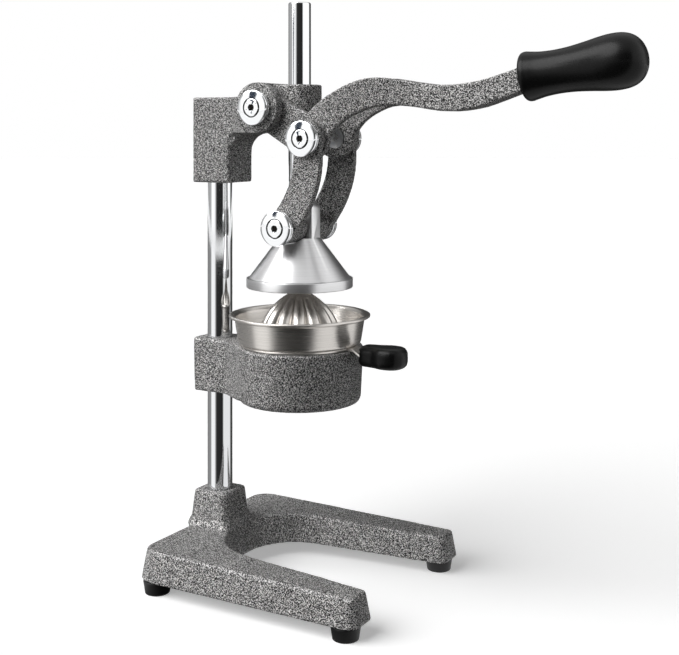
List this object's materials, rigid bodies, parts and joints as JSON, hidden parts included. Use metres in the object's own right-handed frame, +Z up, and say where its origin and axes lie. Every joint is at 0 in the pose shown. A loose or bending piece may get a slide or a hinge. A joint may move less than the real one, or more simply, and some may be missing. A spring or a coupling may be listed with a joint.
{
  "type": "citrus press juicer",
  "caption": "Manual lever press for halved citrus: U-shaped cast base, round column, cup holder with strainer and reamer, and a forked lever that pushes a pressing cone down.",
  "frame": {"origin": "middle of the press's bounding box in X and Y, on the surface its feet stand on", "axes": "+X towards the lever's grip and the open end of the U base, +Y across the machine to its far side, +Z up along the column"},
  "size_m": [0.3694, 0.173, 0.449],
  "materials": {
    "hammertone_paint": "silver-vein hammertone paint on cast metal",
    "chrome": "polished chrome plate",
    "stainless": "brushed stainless sheet",
    "satin_aluminium": "turned satin aluminium casting",
    "zinc_steel": "zinc-plated steel",
    "bronze": "oiled bronze bush",
    "black_plastic": "smooth black moulded grip",
    "rubber": "matt black rubber"
  },
  "bodies": {
    "frame": {"base_casting": "hammertone_paint", "foot_front_near": "rubber", "foot_screw_front_near": "zinc_steel", "foot_front_far": "rubber", "foot_screw_front_far": "zinc_steel", "foot_rear_near": "rubber", "foot_screw_rear_near": "zinc_steel", "foot_rear_far": "rubber", "foot_screw_rear_far": "zinc_steel", "column": "chrome", "column_washer": "zinc_steel", "column_bolt": "zinc_steel", "cup_holder": "hammertone_paint", "holder_set_screw": "zinc_steel", "head_casting": "hammertone_paint", "head_set_screw_lower": "zinc_steel", "head_set_screw_upper": "zinc_steel", "guide_bush_upper": "bronze", "guide_bush_lower": "bronze", "fulcrum_pin": "zinc_steel", "fulcrum_cap_near": "chrome", "fulcrum_cap_screw_near": "chrome", "fulcrum_cap_far": "chrome", "fulcrum_cap_screw_far": "chrome"},
    "lever": {"lever": "hammertone_paint", "lever_grip": "black_plastic", "knee_cap_near": "chrome", "knee_cap_screw_near": "chrome", "knee_pin_near": "zinc_steel", "knee_cap_far": "chrome", "knee_cap_screw_far": "chrome", "knee_pin_far": "zinc_steel"},
    "links": {"cone_pin": "zinc_steel", "link_near": "hammertone_paint", "cone_cap_near": "chrome", "cone_cap_screw_near": "chrome", "link_far": "hammertone_paint", "cone_cap_far": "chrome", "cone_cap_screw_far": "chrome"},
    "plunger": {"plunger_rod": "chrome", "press_cone": "satin_aluminium"},
    "funnel": {"funnel": "stainless", "funnel_grip": "black_plastic", "funnel_grip_screw": "zinc_steel", "strainer_bowl": "stainless", "reamer": "stainless"}
  },
  "joints": [
    {"name": "lever_pivot", "type": "hinge", "parent": "frame", "child": "lever", "pos_m": [-0.10827, 0, 0.367], "axis": [0, 1, 0], "range_deg": [-40, 27]},
    {"name": "link_knee", "type": "hinge", "parent": "lever", "child": "links", "pos_m": [-0.06567, 0, 0.3434], "axis": [0, 1, 0], "range_deg": [-34.2, 50.6]},
    {"name": "plunger_slide", "type": "slide", "parent": "frame", "child": "plunger", "axis": [0, 0, 1], "range_m": [-0.0245, 0.0362]},
    {"name": "funnel_swivel", "type": "hinge", "parent": "frame", "child": "funnel", "pos_m": [-0.08797, 0, 0.184], "axis": [0, 0, 1], "range_deg": [-90, 90]}
  ],
  "couplings": [
    {"joint": "link_knee", "follows": "lever_pivot", "ratio": -1.26},
    {"joint": "plunger_slide", "follows": "lever_pivot", "m_per_rad": -0.0515}
  ]
}
